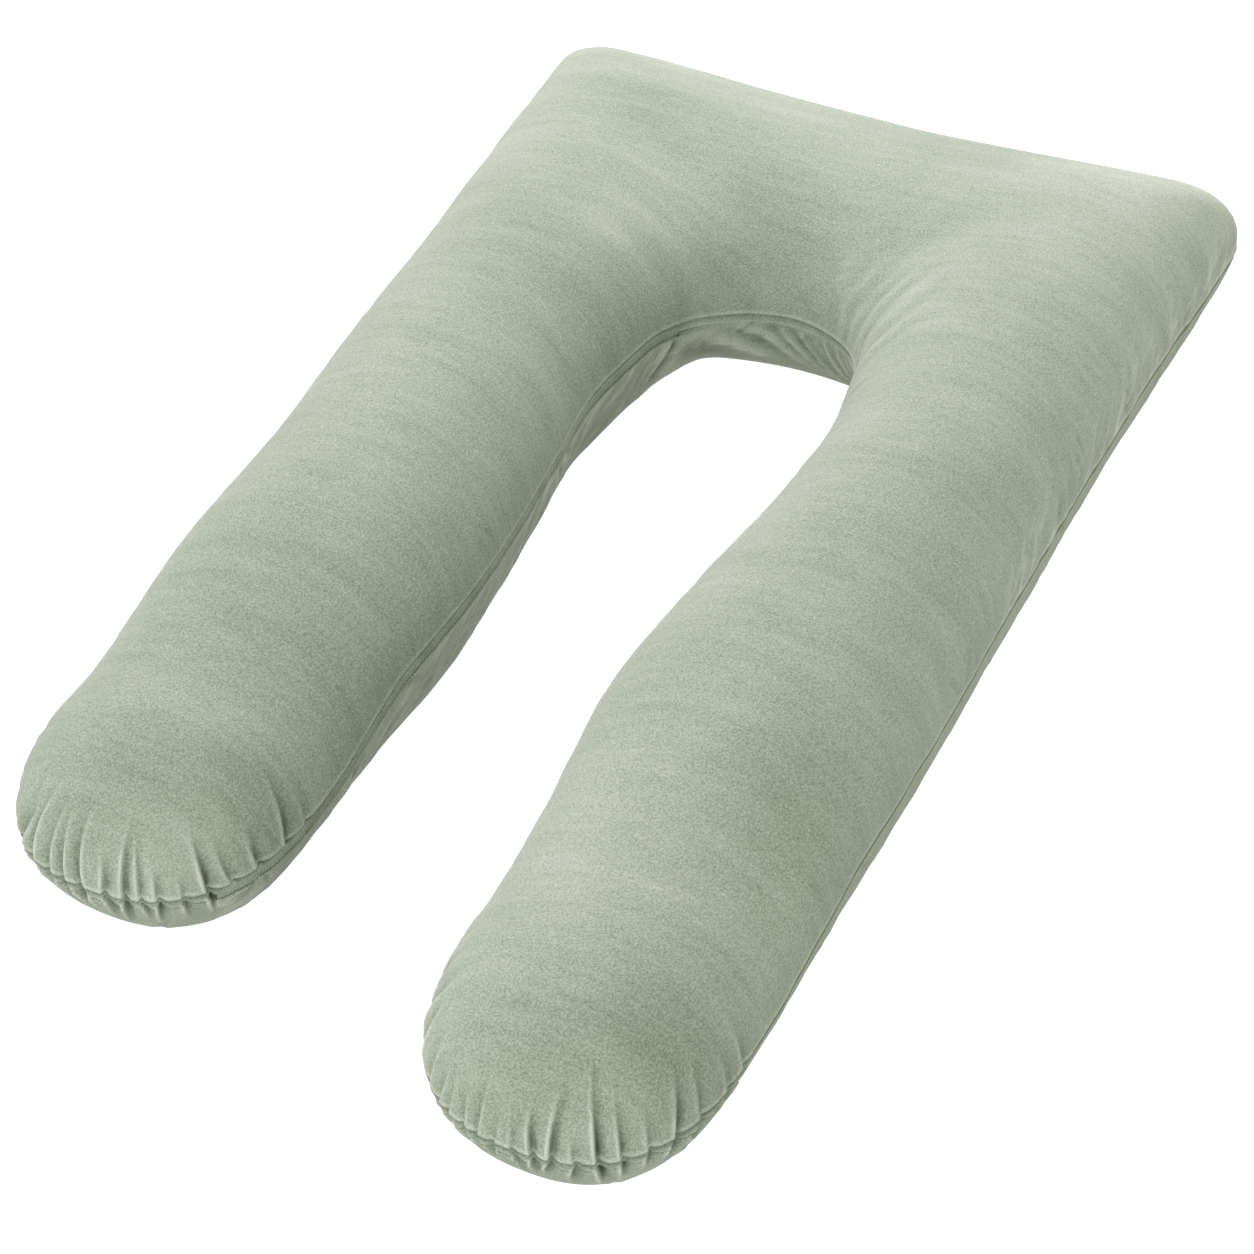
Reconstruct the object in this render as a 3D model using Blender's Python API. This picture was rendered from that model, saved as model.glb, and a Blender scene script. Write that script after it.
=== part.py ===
"""A U-shaped pregnancy pillow in short-pile velvet, lying on its back.

Metres, +Z up. The closed head of the U is towards +Y and the open end of the
legs towards -Y. The pillow rests on z = 0 and its box is centred on x = y = 0.

The pillow is lofted from sections that stand across its middle line. Each
section runs from the middle of the underside, round the seam, to the middle
of the top, so the seam is one ring of points that all the sections share.
"""

import math

import bmesh
import bpy
import numpy as np

for old in list(bpy.data.objects):
    bpy.data.objects.remove(old, do_unlink=True)


# Plan of the seam. The x columns hold its distance from the middle line at
# even steps up the leg: the outer ones from the tip's root to HEAD_SQUARE
# below the head edge, the inner ones from the tip's root to ARCH_Y. The
# gathers are shares of the way round the tip, from its outer to its inner root.
LEGS = (
    {
        "side": 1,
        "tip_y": -0.725,
        "tip_length": 0.172,
        "head_y": 0.704,
        "outer_x": (0.343, 0.363, 0.362, 0.364, 0.374),
        "inner_x": (0.092, 0.0965, 0.092, 0.103, 0.1215, 0.124, 0.103),
        "gathers": (
            0.045, 0.10, 0.17, 0.225, 0.275, 0.32, 0.36, 0.395, 0.435, 0.465, 0.50,
            0.533, 0.565, 0.592, 0.63, 0.66, 0.70, 0.765, 0.82, 0.87, 0.93,
        ),
    },
    {
        "side": -1,
        "tip_y": -0.623,
        "tip_length": 0.162,
        "head_y": 0.7125,
        "outer_x": (0.349, 0.339, 0.359, 0.387, 0.414),
        "inner_x": (0.0995, 0.096, 0.085, 0.0925, 0.106, 0.120, 0.106),
        "gathers": (
            0.05, 0.11, 0.175, 0.24, 0.31, 0.365, 0.414, 0.45, 0.49, 0.535, 0.575,
            0.605, 0.637, 0.68, 0.727, 0.776, 0.834, 0.903, 0.963,
        ),
    },
)
HEAD_SQUARE = 0.10
HEAD_EDGE_Y = 0.708
HEAD_CORNER_RADIUS = 0.036
ARCH_Y = 0.27
ARCH_TOP_Y = 0.363
ARCH_POWER = 1.67
TIP_POWER = 2.44

# Heights along the middle line, from a tip's root (0) to the middle of the head (1).
LEG_SHARE = 0.6
HEIGHTS = (
    # along, seam above floor, crown above seam, power of the crown's curve
    (0.00, 0.090, 0.098, 0.95),
    (0.15, 0.132, 0.108, 0.95),
    (0.30, 0.134, 0.1155, 0.95),
    (0.60, 0.129, 0.115, 0.95),
    (0.80, 0.117, 0.114, 0.83),
    (1.00, 0.117, 0.099, 0.95),
)

# Shape of a section below the seam, and the angles at which its two quarter curves have points.
FLAT_SHARE = 0.45
LOWER_POWER = 1.43
LOWER_ANGLES = (90, 66, 48, 32)
UPPER_ANGLES = (14, 28, 43, 58, 74)

# The seam is drawn in between two rounded lips. Below it lies the band that the placket covers.
SEAM_TUCK = 0.004
SEAM_LIP = 0.0035
PLACKET_ZONE = 0.0135

# The gathers where the cloth is eased round the tips. Between two of them the cloth stands
# out again, at these shares of the way from one to the next.
GATHER_DEPTH = 0.0045
GATHER_REACH = 0.085
GATHER_PROFILE = (
    # share of the way, depth
    (0.00, 1.0),
    (0.35, 0.15),
    (0.70, 0.0),
)

LEG_STATIONS = 22
HEAD_STATIONS = 28
OUTLINE_POINTS = 64
MIDDLE_EASING = 2

# The placket: where it starts round the left tip, how far up the head it ends, and its section.
PLACKET_TIP_SHARE = 0.73
PLACKET_HEAD_SHARE = 0.67
PLACKET_THICKNESS = 0.0016
PLACKET_INSET = 0.0008
CLEARANCE = 0.0003
MERGE = 0.00005

VELVET = (0.44, 0.50, 0.39)
PLACKET_CLOTH = (0.33, 0.38, 0.29)
VELVET_ROUGHNESS = 0.85


def through(xs, ys, x, level_ends=False):
    """Values at x of a smooth curve through the points (xs, ys), level at both ends if asked."""
    xs, ys, x = (np.asarray(values, float) for values in (xs, ys, x))
    slope = np.gradient(ys, xs)
    if level_ends:
        slope[[0, -1]] = 0.0
    i = np.clip(np.searchsorted(xs, x, side="right") - 1, 0, len(xs) - 2)
    step = xs[i + 1] - xs[i]
    t = (x - xs[i]) / step
    start = (1 + 2 * t) * (1 - t) ** 2 * ys[i] + t * (1 - t) ** 2 * step * slope[i]
    end = t * t * (3 - 2 * t) * ys[i + 1] + t * t * (t - 1) * step * slope[i + 1]
    return start + end


def along(points, shares):
    """Points at the given shares of a polyline's length."""
    points = np.asarray(points, float)
    steps = np.linalg.norm(np.diff(points, axis=0), axis=1)
    run = np.concatenate(([0.0], np.cumsum(steps)))
    at = np.asarray(shares) * run[-1]
    return np.column_stack([np.interp(at, run, points[:, 0]), np.interp(at, run, points[:, 1])])


def leg_seams(leg):
    """Outer and inner seam of one leg in plan, from the tip's root up to ARCH_Y."""
    root_y = leg["tip_y"] + leg["tip_length"]
    y = np.linspace(root_y, ARCH_Y, LEG_STATIONS, endpoint=False)
    outer_y = np.linspace(root_y, leg["head_y"] - HEAD_SQUARE, len(leg["outer_x"]))
    inner_y = np.linspace(root_y, ARCH_Y, len(leg["inner_x"]))
    outer = np.column_stack([through(outer_y, leg["outer_x"], y), y])
    inner = np.column_stack([through(inner_y, leg["inner_x"], y), y])
    return outer, inner


def head_seams(leg):
    """Outer and inner seam of one half of the head in plan, from ARCH_Y to the middle line."""
    head_y = leg["head_y"]
    corner_y = head_y - HEAD_CORNER_RADIUS
    square_y = head_y - HEAD_SQUARE
    outer_y = np.linspace(leg["tip_y"] + leg["tip_length"], square_y, len(leg["outer_x"]))
    y = np.linspace(ARCH_Y, square_y, OUTLINE_POINTS)
    side = np.column_stack([through(outer_y, leg["outer_x"], y), y])
    slope = (side[-1, 0] - side[-2, 0]) / (side[-1, 1] - side[-2, 1])
    corner_x = side[-1, 0] + slope * (corner_y - square_y) - HEAD_CORNER_RADIUS
    turn = np.linspace(0, math.pi / 2, OUTLINE_POINTS)
    corner = np.column_stack([
        corner_x + HEAD_CORNER_RADIUS * np.cos(turn),
        corner_y + HEAD_CORNER_RADIUS * np.sin(turn),
    ])
    outer = np.vstack([side, corner, [[0.0, HEAD_EDGE_Y]]])
    arch = np.column_stack([
        leg["inner_x"][-1] * np.cos(turn) ** (2 / ARCH_POWER),
        ARCH_Y + (ARCH_TOP_Y - ARCH_Y) * np.sin(turn) ** (2 / ARCH_POWER),
    ])
    shares = np.linspace(0, 1, HEAD_STATIONS)
    return along(outer, shares), along(arch, shares)


def eased(line, rounds):
    """A polyline with its kinks rounded off, its end points kept."""
    for _ in range(rounds):
        line = np.vstack([line[:1], (line[:-2] + 2 * line[1:-1] + line[2:]) / 4, line[-1:]])
    return line


def gather_rhythm(gathers):
    """Shares of the way round a tip, each with how deep in a gather it lies."""
    found = []
    for low, high in zip(gathers, gathers[1:] + (1.0,)):
        found += [(low + (high - low) * share, depth) for share, depth in GATHER_PROFILE]
    return found


def tip_seam(leg, outer_root, inner_root):
    """The middle of a tip's root, and the seam round the tip with its gathers."""
    middle = (outer_root + inner_root) / 2
    radius = np.linalg.norm(outer_root - inner_root) / 2
    turn = np.linspace(0, math.pi, 4 * OUTLINE_POINTS)
    across = np.sign(np.cos(turn)) * np.abs(np.cos(turn)) ** (2 / TIP_POWER)
    round_tip = np.column_stack([
        middle[0] + radius * across,
        middle[1] - leg["tip_length"] * np.sin(turn) ** (2 / TIP_POWER),
    ])
    rhythm = gather_rhythm(leg["gathers"])
    seam = along(round_tip, [share for share, _ in rhythm])
    return middle, seam, rhythm


def spokes_of(leg):
    """The sections of one leg and its half of the head, in order from the head edge round the tip."""
    outer_leg, inner_leg = leg_seams(leg)
    outer_head, inner_head = head_seams(leg)
    outer = np.vstack([outer_leg, outer_head])
    inner = np.vstack([inner_leg, inner_head])
    shares = np.concatenate([
        np.linspace(0, LEG_SHARE, LEG_STATIONS, endpoint=False),
        np.linspace(LEG_SHARE, 1, HEAD_STATIONS),
    ])
    middle_line = eased((outer + inner) / 2, MIDDLE_EASING)
    columns = np.array(HEIGHTS).T
    seam_z = through(columns[0], columns[1], shares, level_ends=True)
    crown = through(columns[0], columns[2], shares, level_ends=True)
    power = through(columns[0], columns[3], shares, level_ends=True)
    mirror = np.array([leg["side"], 1.0])

    def spoke(edge, middle, station, part, share, gather=0.0):
        return {
            "edge": edge * mirror,
            "middle": middle * mirror,
            "seam_z": seam_z[station],
            "crown": crown[station],
            "power": power[station],
            "part": part,
            "share": share,
            "gather": gather,
        }

    up = range(len(shares))
    down = reversed(up)
    found = [spoke(outer[i], middle_line[i], i, "outer", shares[i]) for i in down]
    middle, tip, rhythm = tip_seam(leg, outer[0], inner[0])
    found += [spoke(edge, middle, 0, "tip", share, depth) for edge, (share, depth) in zip(tip, rhythm)]
    found += [spoke(inner[i], middle_line[i], i, "inner", shares[i]) for i in up]
    return found


def seam_loop():
    """Every section, in order round the pillow's seam: down the right leg and up the left one's."""
    right, left = (spokes_of(leg) for leg in LEGS)
    for spoke in left:
        spoke["left"] = True
    return right + left[::-1][1:-1]


def section(half_width, seam_z, crown, power):
    """Points (out from the middle, height) from the underside's middle to the top's middle."""
    def lower(angle):
        out = FLAT_SHARE + (1 - FLAT_SHARE) * math.cos(angle)
        return half_width * out, seam_z * (1 - math.sin(angle) ** LOWER_POWER)

    def upper(angle):
        return half_width * math.cos(angle), seam_z + crown * math.sin(angle) ** power

    def lower_at(depth):
        return lower(math.asin((depth / seam_z) ** (1 / LOWER_POWER)))

    def upper_at(height):
        return upper(math.asin((height / crown) ** (1 / power)))

    points = [(0.0, 0.0)]
    points += [lower(math.radians(angle)) for angle in LOWER_ANGLES]
    points += [lower_at(PLACKET_ZONE), lower_at(SEAM_LIP)]
    points.append((half_width - SEAM_TUCK, seam_z))
    points.append(upper_at(SEAM_LIP))
    points += [upper(math.radians(angle)) for angle in UPPER_ANGLES]
    points.append((0.0, seam_z + crown))
    return np.array(points)


SEAM_RING = 1 + len(LOWER_ANGLES) + 2


def gathered(points, depth):
    """The section pressed in by a gather that is deepest by the seam and dies away from it."""
    steps = np.linalg.norm(np.diff(points, axis=0), axis=1)
    run = np.concatenate(([0.0], np.cumsum(steps)))
    fade = np.clip(1 - np.abs(run - run[SEAM_RING]) / GATHER_REACH, 0, 1) ** 2
    fade[SEAM_RING] = 0
    tangent = np.gradient(points, axis=0)
    inward = np.column_stack([-tangent[:, 1], tangent[:, 0]])
    inward /= np.linalg.norm(inward, axis=1)[:, None]
    moved = points + inward * (GATHER_DEPTH * depth * fade)[:, None]
    moved[:, 1] = np.maximum(moved[:, 1], 0.0)
    return moved


def place(spoke):
    """A section's points in space."""
    reach = spoke["edge"] - spoke["middle"]
    half_width = np.linalg.norm(reach)
    points = section(half_width, spoke["seam_z"], spoke["crown"], spoke["power"])
    points = gathered(points, spoke["gather"])
    plan = spoke["middle"] + np.outer(points[:, 0] / half_width, reach)
    return np.column_stack([plan, points[:, 1]])


def mesh_object(name, mesh, collection, material):
    """A smooth-shaded object with its outside facing out."""
    bmesh.ops.recalc_face_normals(mesh, faces=mesh.faces)
    data = bpy.data.meshes.new(name)
    mesh.to_mesh(data)
    mesh.free()
    data.materials.append(material)
    for polygon in data.polygons:
        polygon.use_smooth = True
    made = bpy.data.objects.new(name, data)
    collection.objects.link(made)
    return made


def cloth(name, color):
    """A plain cloth material."""
    made = bpy.data.materials.new(name)
    made.use_nodes = True
    shader = made.node_tree.nodes["Principled BSDF"]
    shader.inputs["Base Color"].default_value = (*color, 1)
    shader.inputs["Roughness"].default_value = VELVET_ROUGHNESS
    shader.inputs["Metallic"].default_value = 0.0
    return made


def build_pillow(rings, collection):
    """The filled cushion: quads between neighbouring sections, all the way round the seam."""
    mesh = bmesh.new()
    grid = [[mesh.verts.new(point) for point in ring] for ring in rings]
    for here, ahead in zip(grid, grid[1:] + grid[:1]):
        for low in range(len(here) - 1):
            mesh.faces.new((here[low], ahead[low], ahead[low + 1], here[low + 1]))
    bmesh.ops.remove_doubles(mesh, verts=mesh.verts, dist=MERGE)
    return mesh_object("pillow", mesh, collection, cloth("velvet", VELVET))


def build_placket(rings, loop, collection):
    """The strip below the left leg's inner seam, laid on the pillow with a hair's clearance."""
    def covered(spoke):
        if spoke["part"] == "tip":
            return spoke["share"] >= PLACKET_TIP_SHARE
        return spoke["part"] == "inner" and spoke["share"] <= PLACKET_HEAD_SHARE

    chosen = [i for i, spoke in enumerate(loop) if spoke.get("left") and covered(spoke)]
    low, high = SEAM_RING - 2, SEAM_RING - 1
    path = np.array([rings[i][high][:2] for i in chosen])
    tangent = np.gradient(path, axis=0)
    normal = np.column_stack([tangent[:, 1], -tangent[:, 0]])
    normal /= np.linalg.norm(normal, axis=1)[:, None]
    outward = np.array([loop[i]["edge"] - loop[i]["middle"] for i in chosen])
    normal *= np.sign((normal * outward).sum(axis=1))[:, None]
    mesh = bmesh.new()
    strip = []
    for i, side in zip(chosen, normal):
        bottom, top = rings[i][low], rings[i][high]
        inset = PLACKET_INSET * (top - bottom) / np.linalg.norm(top - bottom)
        out = np.array([*side, 0.0])
        near, far = out * CLEARANCE, out * (CLEARANCE + PLACKET_THICKNESS)
        corners = (top - inset + near, bottom + inset + near, bottom + inset + far, top - inset + far)
        strip.append([mesh.verts.new(corner) for corner in corners])
    for here, ahead in zip(strip, strip[1:]):
        for k in range(4):
            mesh.faces.new((here[k], here[(k + 1) % 4], ahead[(k + 1) % 4], ahead[k]))
    mesh.faces.new(strip[0][::-1])
    mesh.faces.new(strip[-1])
    return mesh_object("zip_placket", mesh, collection, cloth("placket_cloth", PLACKET_CLOTH))


parts = bpy.data.collections.new("pregnancy_pillow")
bpy.context.scene.collection.children.link(parts)

sections = seam_loop()
placed = np.array([place(spoke) for spoke in sections])
corners = placed.reshape(-1, 3)
middle_of_box = (corners.min(axis=0) + corners.max(axis=0)) / 2
placed = placed - np.array([middle_of_box[0], middle_of_box[1], 0.0])

build_pillow(placed, parts)
build_placket(placed, sections, parts)
print("box centre taken off:", np.round(middle_of_box[:2], 4))
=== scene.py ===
"""Looks of the U-shaped pregnancy pillow: velvet cover, placket, stitches, light and camera.

Metres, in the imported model's frame: +Z up from the floor, the closed head of the U towards +Y.
The cover is lofted as in the part's own source, from sections that stand across the pillow's
middle line, with many more of them, and is then gathered, creased and rumpled.
"""

import math
import random

import bmesh
import bpy
import numpy as np
from mathutils import Matrix, Vector, noise


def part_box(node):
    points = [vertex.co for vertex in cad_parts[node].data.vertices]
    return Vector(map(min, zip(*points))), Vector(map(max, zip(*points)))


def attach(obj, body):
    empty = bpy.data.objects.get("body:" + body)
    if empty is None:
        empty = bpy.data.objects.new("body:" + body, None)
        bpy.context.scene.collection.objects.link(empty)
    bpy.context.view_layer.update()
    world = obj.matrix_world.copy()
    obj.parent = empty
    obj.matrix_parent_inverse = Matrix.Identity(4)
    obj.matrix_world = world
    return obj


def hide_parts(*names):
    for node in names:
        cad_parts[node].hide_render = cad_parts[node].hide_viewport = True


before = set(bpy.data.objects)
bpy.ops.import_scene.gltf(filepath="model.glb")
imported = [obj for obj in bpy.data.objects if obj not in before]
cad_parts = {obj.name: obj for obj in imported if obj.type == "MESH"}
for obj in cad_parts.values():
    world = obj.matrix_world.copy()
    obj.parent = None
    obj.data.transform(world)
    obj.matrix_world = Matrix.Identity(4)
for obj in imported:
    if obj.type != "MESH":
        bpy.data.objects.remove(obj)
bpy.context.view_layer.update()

MM = 0.001
TINY = 1e-12

# Plan of the seam, as in the part's source. outer_x and inner_x are its distances from the
# middle plane at even steps up the leg. gathers are shares of the way round the tip, from its
# outer side.
LEGS = (
    {
        "name": "right",
        "side": 1,
        "tip_y": -0.725,
        "tip_length": 0.172,
        "head_y": 0.704,
        "outer_x": (0.343, 0.363, 0.362, 0.364, 0.374),
        "inner_x": (0.092, 0.0965, 0.092, 0.103, 0.1215, 0.124, 0.103),
        "gathers": (
            0.045, 0.10, 0.17, 0.225, 0.275, 0.32, 0.36, 0.395, 0.435, 0.465, 0.50,
            0.533, 0.565, 0.592, 0.63, 0.66, 0.70, 0.765, 0.82, 0.87, 0.93,
        ),
    },
    {
        "name": "left",
        "side": -1,
        "tip_y": -0.623,
        "tip_length": 0.162,
        "head_y": 0.7125,
        "outer_x": (0.349, 0.339, 0.359, 0.387, 0.414),
        "inner_x": (0.0995, 0.096, 0.085, 0.0925, 0.106, 0.120, 0.106),
        "gathers": (
            0.05, 0.11, 0.175, 0.24, 0.31, 0.365, 0.414, 0.45, 0.49, 0.535, 0.575,
            0.605, 0.637, 0.68, 0.727, 0.776, 0.834, 0.903, 0.963,
        ),
    },
)
HEAD_SQUARE = 0.10
HEAD_EDGE_Y = 0.708
HEAD_CORNER_RADIUS = 0.036
ARCH_Y = 0.27
ARCH_TOP_Y = 0.363
ARCH_POWER = 1.67
TIP_POWER = 2.44
LEG_SHARE = 0.6
HEIGHTS = (
    # along, seam above floor, crown above seam, power of the crown's curve
    (0.00, 0.090, 0.098, 0.95),
    (0.15, 0.132, 0.108, 0.95),
    (0.30, 0.134, 0.1155, 0.95),
    (0.60, 0.129, 0.115, 0.95),
    (0.80, 0.117, 0.114, 0.83),
    (1.00, 0.117, 0.099, 0.95),
)
FLAT_SHARE = 0.45
LOWER_POWER = 1.43

# How finely the cover is built, and over what lengths its lines are smoothed.
LEG_STATIONS = 152
HEAD_STATIONS = 106
TIP_SPOKES = 392
OUTLINE_POINTS = 240
TIP_POINTS = 1440
CURVE_SAMPLES = 160
MIDDLE_EASING = 60
SMOOTHED_OVER = 0.008
ARCH_SMOOTHED_OVER = 0.042
ARCH_SHARES = (0.46, 0.62)

# Rings of points beside the seam, in millimetres from it, then on towards the middle.
BELOW_SEAM_MM = (
    0.6, 1.3, 2.2, 3.4, 5, 7, 8.6, 9.8, 10.8, 11.8, 12.8, 13.8, 14.8, 15.8, 17.4, 20.5, 25,
)
ABOVE_SEAM_MM = (0.6, 1.3, 2.2, 3.4, 5, 7.2, 10, 14, 19, 25, 32, 40)
RINGS_UNDER = 14
RINGS_OVER = 11
RING_GROWTH = 1.3


def through(xs, ys, x, level_ends=False):
    """Values at x of a smooth curve through the points (xs, ys), level at both ends if asked."""
    xs, ys, x = (np.asarray(values, float) for values in (xs, ys, x))
    slope = np.gradient(ys, xs)
    if level_ends:
        slope[[0, -1]] = 0.0
    i = np.clip(np.searchsorted(xs, x, side="right") - 1, 0, len(xs) - 2)
    step = xs[i + 1] - xs[i]
    t = (x - xs[i]) / step
    start = (1 + 2 * t) * (1 - t) ** 2 * ys[i] + t * (1 - t) ** 2 * step * slope[i]
    end = t * t * (3 - 2 * t) * ys[i + 1] + t * t * (t - 1) * step * slope[i + 1]
    return start + end


def lengths_along(points):
    """Distance along a polyline to each of its points."""
    steps = np.linalg.norm(np.diff(points, axis=0), axis=1)
    return np.concatenate(([0.0], np.cumsum(steps)))


def along(points, shares):
    """Points at the given shares of a polyline's length."""
    run = lengths_along(points)
    at = np.asarray(shares) * run[-1]
    return np.column_stack([np.interp(at, run, column) for column in np.asarray(points).T])


def leg_seams(leg):
    """Outer and inner seam of one leg in plan, from the tip's root up to ARCH_Y."""
    root_y = leg["tip_y"] + leg["tip_length"]
    y = np.linspace(root_y, ARCH_Y, LEG_STATIONS, endpoint=False)
    outer_y = np.linspace(root_y, leg["head_y"] - HEAD_SQUARE, len(leg["outer_x"]))
    inner_y = np.linspace(root_y, ARCH_Y, len(leg["inner_x"]))
    outer = np.column_stack([through(outer_y, leg["outer_x"], y), y])
    inner = np.column_stack([through(inner_y, leg["inner_x"], y), y])
    return outer, inner


def head_seams(leg):
    """Outer and inner seam of one half of the head in plan, from ARCH_Y to the middle line."""
    head_y = leg["head_y"]
    corner_y = head_y - HEAD_CORNER_RADIUS
    square_y = head_y - HEAD_SQUARE
    outer_y = np.linspace(leg["tip_y"] + leg["tip_length"], square_y, len(leg["outer_x"]))
    y = np.linspace(ARCH_Y, square_y, OUTLINE_POINTS)
    side = np.column_stack([through(outer_y, leg["outer_x"], y), y])
    slope = (side[-1, 0] - side[-2, 0]) / (side[-1, 1] - side[-2, 1])
    corner_x = side[-1, 0] + slope * (corner_y - square_y) - HEAD_CORNER_RADIUS
    turn = np.linspace(0, math.pi / 2, OUTLINE_POINTS)
    corner = np.column_stack([
        corner_x + HEAD_CORNER_RADIUS * np.cos(turn),
        corner_y + HEAD_CORNER_RADIUS * np.sin(turn),
    ])
    outer = np.vstack([side, corner, [[0.0, HEAD_EDGE_Y]]])
    arch = np.column_stack([
        leg["inner_x"][-1] * np.cos(turn) ** (2 / ARCH_POWER),
        ARCH_Y + (ARCH_TOP_Y - ARCH_Y) * np.sin(turn) ** (2 / ARCH_POWER),
    ])
    shares = np.linspace(0, 1, HEAD_STATIONS)
    return along(outer, shares), along(arch, shares)


def eased(line, rounds):
    """A polyline with its kinks rounded off, its end points kept."""
    for _ in range(rounds):
        line = np.vstack([line[:1], (line[:-2] + 2 * line[1:-1] + line[2:]) / 4, line[-1:]])
    return line


def sides_of(leg):
    """Outer and inner seam of one leg and its half of the head in plan, from the tip's root."""
    outer_leg, inner_leg = leg_seams(leg)
    outer_head, inner_head = head_seams(leg)
    mirror = (leg["side"], 1)
    return np.vstack([outer_leg, outer_head]) * mirror, np.vstack([inner_leg, inner_head]) * mirror


def middle_lines():
    """Middle line of each leg and its half of the head, parts of one smooth line."""
    right, left = (sum(sides_of(leg)) / 2 for leg in LEGS)
    whole = eased(np.vstack([right, left[::-1][1:]]), MIDDLE_EASING)
    return whole[:len(right)], whole[len(right) - 1:][::-1]


def spokes_of(leg, middle):
    """One leg's sections, from the head's middle down its outer side, round the tip and back up.

    Each row holds the seam point, the middle point, seam height, crown, power, tip share or -1,
    and share along the leg and head.
    """
    outer, inner = sides_of(leg)
    shares = np.concatenate([
        np.linspace(0, LEG_SHARE, LEG_STATIONS, endpoint=False),
        np.linspace(LEG_SHARE, 1, HEAD_STATIONS),
    ])
    columns = np.array(HEIGHTS).T
    heights = np.column_stack([through(columns[0], column, shares, True) for column in columns[1:]])
    root = (outer[0] + inner[0]) / 2
    radius = np.linalg.norm(outer[0] - inner[0]) / 2
    turn = np.linspace(0, math.pi, TIP_POINTS)
    across = np.sign(np.cos(turn)) * np.abs(np.cos(turn)) ** (2 / TIP_POWER)
    round_tip = np.column_stack([
        root[0] + leg["side"] * radius * across,
        root[1] - leg["tip_length"] * np.sin(turn) ** (2 / TIP_POWER),
    ])
    tip_shares = np.linspace(0, 1, TIP_SPOKES + 2)[1:-1]
    tip = along(round_tip, tip_shares)
    not_tip = -np.ones(len(shares))
    outer_rows = np.column_stack([outer, middle, heights, not_tip, shares])[::-1]
    inner_rows = np.column_stack([inner, middle, heights, not_tip, shares])
    one = np.ones(TIP_SPOKES)
    tip_rows = np.column_stack([
        tip, np.outer(one, root), np.outer(one, heights[0]), tip_shares, np.zeros(TIP_SPOKES),
    ])
    return np.vstack([outer_rows, tip_rows, inner_rows])


def smoothed(values, s, total, spread):
    """Values at places s round a closed line, each spread over its neighbours."""
    gap = np.abs(s[:, None] - s[None, :])
    gap = np.minimum(gap, total - gap)
    spacing = ((np.roll(s, -1) - np.roll(s, 1)) % total) / 2
    weight = np.exp(-0.5 * (gap / spread[:, None]) ** 2) * spacing
    return weight @ values / weight.sum(axis=1, keepdims=True)


class Loop:
    """The sections in order round the seam: down the right leg, round the arch, up the left leg."""

    def __init__(self):
        right, left = (spokes_of(leg, middle) for leg, middle in zip(LEGS, middle_lines()))
        rows = np.vstack([right, left[::-1][1:-1]])
        self.count = len(rows)
        self.is_left = np.arange(self.count) >= len(right)
        self.middle = rows[:, 2:4]
        self.seam_z, self.crown, self.power, self.tip_share, self.share = rows[:, 4:9].T
        top = self.seam_z + self.crown
        edge = self.smooth_edge(rows[:, [0, 1, 4]])
        self.edge = edge[:, :2]
        self.seam_z = edge[:, 2]
        self.crown = top - self.seam_z
        run = lengths_along(np.vstack([self.edge, self.edge[:1]]))
        self.s = run[:-1]
        self.total = run[-1]

    def smooth_edge(self, edge):
        """The seam with its kinks rounded off, most of all round the arch."""
        run = lengths_along(np.vstack([edge, edge[:1]]))
        round_arch = np.zeros(self.count)
        for left in (False, True):
            inner = self.inner(left)
            round_arch[inner] = np.interp(self.share[inner], ARCH_SHARES, (0, 1))
        spread = SMOOTHED_OVER + (ARCH_SMOOTHED_OVER - SMOOTHED_OVER) * round_arch
        once = smoothed(edge, run[:-1], run[-1], spread)
        return once + smoothed(edge - once, run[:-1], run[-1], spread)

    def tip(self, left):
        """Indices of one tip's sections, from its outer root to its inner root."""
        found = np.flatnonzero((self.tip_share >= 0) & (self.is_left == left))
        return found[::-1] if left else found

    def s_at_tip(self, left, share):
        """Seam distance at a share of the way round a tip."""
        found = self.tip(left)
        return float(np.interp(share, self.tip_share[found], self.s[found]))

    def s_at_inner(self, left, share):
        """Seam distance on the inner side of a leg or the arch, at a share along it."""
        inner = self.inner(left)
        order = inner[np.argsort(self.share[inner])]
        return float(np.interp(share, self.share[order], self.s[order]))

    def inner(self, left):
        """Indices of the sections on the inner side of one leg and half of the arch."""
        inner_root = self.tip(left)[-1]
        leg_side = (self.tip_share < 0) & (self.is_left == left)
        index = np.arange(self.count)
        return np.flatnonzero(leg_side & ((index < inner_root) if left else (index > inner_root)))


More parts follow.
